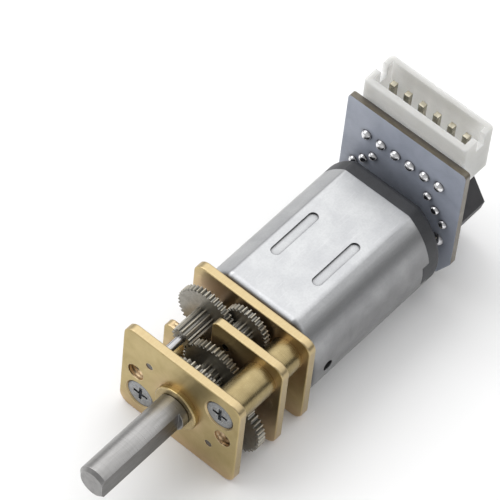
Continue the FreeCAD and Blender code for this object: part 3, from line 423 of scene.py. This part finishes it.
def solder():
    """Bright solder that darkens towards its foot."""
    f = Finish("bright_solder", Metallic=1.0)
    ripple = f.noise(0.22 * MM, detail=2, warp=0.3)
    above = f.remap(f.axis_place(0), BOARD_FRONT_X, BOARD_FRONT_X + SOLDER_FOOT_HEIGHT)
    tone = f.mix(f.remap(ripple, 0.3, 0.7), srgb(244, 244, 246), srgb(214, 214, 216))
    f.set("Base_Color", f.mix(above, srgb(92, 92, 96), tone))
    f.set("Roughness", f.remap(ripple, 0.3, 0.7, 0.1, 0.24))
    f.set("Normal", f.bump(ripple, 14 * MICRON))
    f.give_to("connector_joints", "sensor_joints", "terminal_joints")


# ------------------------------------------------------------------- plastics and board

def moulded(name, nodes, light, dark, rough, grain=0.09 * MM, depth=4 * MICRON):
    """Moulding with a fine eroded texture of paler flecks, and paler edges from scuffs and a painted
    highlight.
    """
    f = Finish(name, Specular_IOR_Level=0.45)
    fine = f.noise(grain, detail=3)
    cloud = f.noise(1.5 * MM, detail=3)
    tone = f.mix(f.remap(cloud, 0.35, 0.7), light, dark)
    scuff_and_edge_highlight = tuple(min(1.0, part * 1.9 + 0.012) for part in light[:3]) + (1.0,)
    # Paler plastic along the sharp edges: partly scuffs, partly a painted highlight.
    tone = f.mix(f.maths("MULTIPLY", f.near_edges(0.08 * MM), 0.6), tone, scuff_and_edge_highlight)
    f.set("Base_Color", f.mix(f.remap(fine, 0.4, 0.8, 0.0, 0.3), tone, scuff_and_edge_highlight))
    f.set("Roughness", f.remap(f.maths("ADD", fine, cloud), 0.6, 1.4, rough - 0.08, rough + 0.1))
    f.set("Normal", f.bump(fine, depth, f.soften(0.06 * MM)))
    f.give_to(*nodes)


def board_mask():
    """Grey-blue solder mask over a woven board, with sawn brown edges and painted shade in its
    corners.
    """
    f = Finish("solder_mask", Specular_IOR_Level=0.5, Coat_Weight=0.3, Coat_Roughness=0.18)
    face = f.facing(0)
    cloud = f.noise(1.8 * MM, detail=4, warp=0.4)
    weave = weave_height(f, BOARD_WEAVE_PITCH)
    tone = f.mix(f.remap(cloud, 0.35, 0.7), srgb(166, 172, 186), srgb(152, 158, 172))
    tone = f.mix(f.remap(weave, 0.2, 0.9, 0.0, 0.18), tone, srgb(168, 175, 190))
    layers = f.noise(0.16 * MM, (1, 4, 4), detail=3)
    sawn = f.mix(f.remap(layers, 0.3, 0.7), srgb(106, 98, 82), srgb(84, 76, 62))
    tone = f.mix(face, sawn, tone)
    # Painted shade: darker board near the joints, the connector and the cap, where shade falls.
    f.set("Base_Color", f.mix(f.maths("MULTIPLY", f.sheltered(0.45 * MM, 0.5, 0.95), 0.8), tone,
                              srgb(50, 51, 56)))
    f.set("Roughness", f.remap(cloud, 0.3, 0.7, 0.32, 0.5))
    f.set("Normal", f.bump(weave, 3 * MICRON, f.soften(0.04 * MM)))
    f.give_to("circuit_board")


def weave_height(f, pitch):
    """Plain weave of glass cloth in the plane of the board."""
    waves = []
    for axis in (1, 2):
        phase = f.maths("MULTIPLY", f.axis_place(axis), 2 * math.pi / pitch)
        waves.append(f.maths("SINE", phase))
    return f.remap(f.maths("MULTIPLY", waves[0], waves[1]), -1.0, 1.0)


def connector_nylon():
    """Natural nylon: milky, a little translucent, with soft moulded edges and painted light in its
    hollows.
    """
    f = Finish("natural_nylon", Specular_IOR_Level=0.45, Subsurface_Weight=0.85,
               Subsurface_Scale=2.4 * MM, Subsurface_Radius=(1.0, 0.97, 0.92))
    fine = f.noise(0.12 * MM, detail=3)
    cloud = f.noise(2.0 * MM, detail=3)
    tone = f.mix(f.remap(cloud, 0.35, 0.7), srgb(186, 186, 184), srgb(180, 180, 177))
    # Painted light: paler nylon deep in the cavity and other hollows, where shade falls.
    f.set("Base_Color", f.mix(f.maths("MULTIPLY", f.sheltered(2.0 * MM, 0.5, 0.95), 0.9), tone,
                              srgb(244, 244, 242)))
    f.set("Roughness", f.remap(f.maths("ADD", fine, cloud), 0.6, 1.4, 0.34, 0.5))
    f.set("Normal", f.bump(fine, 3 * MICRON, f.soften(0.14 * MM)))
    f.give_to("connector_housing")


def ferrite():
    """Ground ferrite with small chips and a metallic glint."""
    f = Finish("ferrite", Metallic=0.4)
    grain = f.cells(0.14 * MM)
    f.set("Base_Color", f.mix(grain, srgb(70, 70, 74), srgb(38, 38, 42)))
    f.set("Roughness", f.remap(grain, 0.0, 0.8, 0.42, 0.65))
    f.set("Normal", f.bump(grain, 5 * MICRON))
    f.give_to("left_field_magnet", "right_field_magnet")


def laminations():
    """Stack of thin steel sheets, seen as fine lines across the rotor."""
    f = Finish("laminations", Metallic=1.0)
    phase = f.maths("FRACT", f.maths("DIVIDE", f.axis_place(0), LAMINATION_PITCH))
    joint = f.remap(f.maths("ABSOLUTE", f.maths("SUBTRACT", phase, 0.5)), 0.4, 0.48)
    rust = f.noise(0.6 * MM, detail=4)
    sheet = f.mix(f.remap(rust, 0.4, 0.7), srgb(150, 150, 152), srgb(112, 108, 104))
    f.set("Base_Color", f.mix(joint, sheet, srgb(40, 38, 36)))
    f.set("Roughness", f.remap(rust, 0.3, 0.7, 0.35, 0.55))
    f.set("Normal", f.bump(joint, -12 * MICRON))
    f.give_to("rotor_core")


def windings():
    """Enamelled wire, laid side by side along the poles."""
    f = Finish("enamelled_wire", Metallic=0.9, Coat_Weight=0.6, Coat_Roughness=0.1)
    reach = f.radius(MOTOR_AXIS)
    turn = f.maths("FRACT", f.maths("DIVIDE", reach, WIRE_PITCH))
    wire = f.maths("SINE", f.maths("MULTIPLY", turn, math.pi))
    tint = f.noise(0.5 * MM, detail=2)
    copper = f.mix(f.remap(tint, 0.35, 0.7), srgb(196, 112, 62), srgb(158, 82, 42))
    f.set("Base_Color", f.mix(f.remap(wire, 0.5, 0.0), copper, srgb(70, 30, 16)))
    f.set("Roughness", f.remap(tint, 0.3, 0.7, 0.2, 0.35))
    f.set("Normal", f.bump(wire, 40 * MICRON))
    f.give_to("rotor_windings")


def copper():
    """Bare copper with turned rings, worn bright by the brushes."""
    f = Finish("bare_copper", Metallic=1.0)
    rings = f.noise(0.05 * MM, detail=3, source=f.turning(MOTOR_AXIS))
    f.set("Base_Color", f.mix(f.remap(rings, 0.3, 0.7), srgb(214, 142, 104), srgb(158, 92, 62)))
    f.set("Roughness", f.remap(rings, 0.3, 0.7, 0.22, 0.4))
    f.set("Normal", f.bump(rings, 4 * MICRON))
    f.give_to("commutator")


def paint_nodes():
    """Gives every piece its material."""
    plate_brass()
    turned_brass("turned_brass", ("front_spacers", "rear_spacers"), SCREW_CENTRE, True,
                 srgb(158, 143, 106), srgb(140, 125, 90))
    turned_brass("bush_brass", ("output_bush", "disc_hub"), MOTOR_AXIS, False,
                 srgb(192, 173, 128), srgb(170, 151, 108))
    bronze()
    for body, name in (("output", "output_gear"), ("centre_idler", "centre_idler_gear"),
                       ("idler_a", "idler_gear_a"), ("idler_b", "idler_gear_b"),
                       ("first_idler", "first_idler_gear"), ("rotor", "motor_pinion")):
        gear_steel(name, body)
    shaft_steel()
    pin_steel()
    screw_nickel("screw_nickel", "gearbox_screws", SCREW_CENTRE, GEARBOX_SCREW_RADIUS)
    screw_nickel("motor_screw_nickel", "motor_screws", MOTOR_SCREW_CENTRE, MOTOR_SCREW_RADIUS)
    can_nickel()
    tinned("tin_plate", ("motor_terminals", "sensor_legs"), srgb(196, 190, 174),
           srgb(160, 152, 132))
    tinned("pin_plate", ("connector_pins",), srgb(182, 177, 160), srgb(150, 144, 127))
    tinned("spring_bronze", ("brushes",), srgb(210, 178, 124), srgb(176, 140, 92))
    solder()
    moulded("cap_plastic", ("end_cap", "commutator_core"), srgb(50, 51, 54), srgb(42, 43, 46),
            0.5)
    moulded("sensor_epoxy", ("hall_sensors",), srgb(46, 45, 48), srgb(38, 37, 40), 0.52)
    moulded("bonded_magnet", ("magnet_disc",), srgb(52, 52, 55), srgb(40, 40, 43), 0.48,
            0.06 * MM, 6 * MICRON)
    moulded("chip_ceramic", ("chip_resistors",), srgb(40, 40, 44), srgb(30, 30, 33), 0.35,
            0.05 * MM)
    moulded("chip_capacitor", ("chip_capacitor",), srgb(176, 142, 104), srgb(156, 122, 86), 0.4,
            0.05 * MM)
    moulded("washer_plastic", ("rotor_washers",), srgb(216, 212, 200), srgb(198, 193, 180), 0.45)
    connector_nylon()
    ferrite()
    laminations()
    windings()
    copper()
    board_mask()


# ------------------------------------------------------------------- floor, light and camera

# Each patch: azimuth from +X towards +Y, elevation and half angle in degrees, and strength.
SKY_LEVEL = 0.54
SKY_PATCHES = ((215, 57, 50, 1.35), (128, 44, 30, 0.9), (115, 2, 30, -0.5))

FLOOR_GAP = 0.02 * MM
FLOOR_Z = cad_low[2] - FLOOR_GAP
FLOOR_HALF_SIZE = 3.0

AIM = Vector((-13.318, -4.496, 3.0)) * MM
CAMERA_AZIMUTH = math.radians(35.643)
CAMERA_ELEVATION = math.radians(53.913)
CAMERA_ROLL = math.radians(6.655)
CAMERA_DISTANCE = 316.52 * MM
CAMERA_LENS = 288.0


def direction(azimuth, elevation):
    """Unit vector; azimuth is measured from +X towards +Y."""
    return Vector((math.cos(azimuth) * math.cos(elevation),
                   math.sin(azimuth) * math.cos(elevation), math.sin(elevation)))


def make_floor():
    """Plain pale floor just under the motor."""
    mesh = bpy.data.meshes.new("floor")
    s = FLOOR_HALF_SIZE
    mesh.from_pydata([(-s, -s, FLOOR_Z), (s, -s, FLOOR_Z), (s, s, FLOOR_Z), (-s, s, FLOOR_Z)], [],
                     [(0, 1, 2, 3)])
    floor = bpy.data.objects.new("floor", mesh)
    bpy.context.scene.collection.objects.link(floor)
    f = Finish("floor_paper", Base_Color=(0.9, 0.9, 0.9, 1.0), Specular_IOR_Level=0.1)
    f.set("Roughness", f.remap(f.noise(4 * MM), 0.3, 0.7, 0.75, 0.85))
    mesh.materials.append(f.material)


def make_camera():
    """Long lens in front of the motor and above it, on its +Y side."""
    data = bpy.data.cameras.new("camera")
    data.lens = CAMERA_LENS
    data.clip_start = 10 * MM
    camera = bpy.data.objects.new("camera", data)
    bpy.context.scene.collection.objects.link(camera)
    back = direction(CAMERA_AZIMUTH, CAMERA_ELEVATION)
    level = Vector((0.0, 0.0, 1.0)).cross(back).normalized()
    upright = back.cross(level)
    right = level * math.cos(CAMERA_ROLL) + upright * math.sin(CAMERA_ROLL)
    up = back.cross(right)
    place = Matrix((right, up, back)).transposed().to_4x4()
    place.translation = AIM + back * CAMERA_DISTANCE
    camera.matrix_world = place
    bpy.context.scene.camera = camera


def softbox(name, azimuth, elevation, distance, width, height, power):
    """Soft rectangular lamp that points at the middle of the motor."""
    data = bpy.data.lights.new(name, "AREA")
    data.shape = "RECTANGLE"
    data.size = width
    data.size_y = height
    data.energy = power
    lamp = bpy.data.objects.new(name, data)
    bpy.context.scene.collection.objects.link(lamp)
    towards = direction(math.radians(azimuth), math.radians(elevation))
    lamp.location = AIM + towards * distance
    lamp.rotation_mode = "QUATERNION"
    lamp.rotation_quaternion = towards.to_track_quat("Z", "Y")


def light_studio():
    """An even sky with broad bright and dark patches, and one large softbox."""
    world = bpy.data.worlds.new("studio")
    bpy.context.scene.world = world
    world.use_nodes = True
    nodes, links = world.node_tree.nodes, world.node_tree.links
    sky = nodes["Background"].inputs["Color"]
    where = nodes.new("ShaderNodeTexCoord").outputs["Generated"]
    level = None
    for azimuth, elevation, half_angle, strength in SKY_PATCHES:
        nearness = nodes.new("ShaderNodeVectorMath")
        nearness.operation = "DOT_PRODUCT"
        nearness.inputs[1].default_value = direction(math.radians(azimuth),
                                                     math.radians(elevation))
        links.new(where, nearness.inputs[0])
        patch = nodes.new("ShaderNodeMapRange")
        patch.interpolation_type = "SMOOTHSTEP"
        patch.inputs["From Min"].default_value = math.cos(math.radians(half_angle))
        patch.inputs["To Max"].default_value = strength
        links.new(nearness.outputs["Value"], patch.inputs["Value"])
        total = nodes.new("ShaderNodeMath")
        total.operation = "ADD"
        total.inputs[0].default_value = SKY_LEVEL
        if level is not None:
            links.new(level, total.inputs[0])
        links.new(patch.outputs[0], total.inputs[1])
        level = total.outputs[0]
    links.new(level, sky)
    softbox("key_softbox", azimuth=285, elevation=46, distance=1.5, width=1.5, height=1.3,
            power=12.0)
    bpy.context.scene.view_settings.view_transform = "Standard"
    bpy.context.scene.view_settings.look = "None"


paint_nodes()
make_floor()
light_studio()
make_camera()
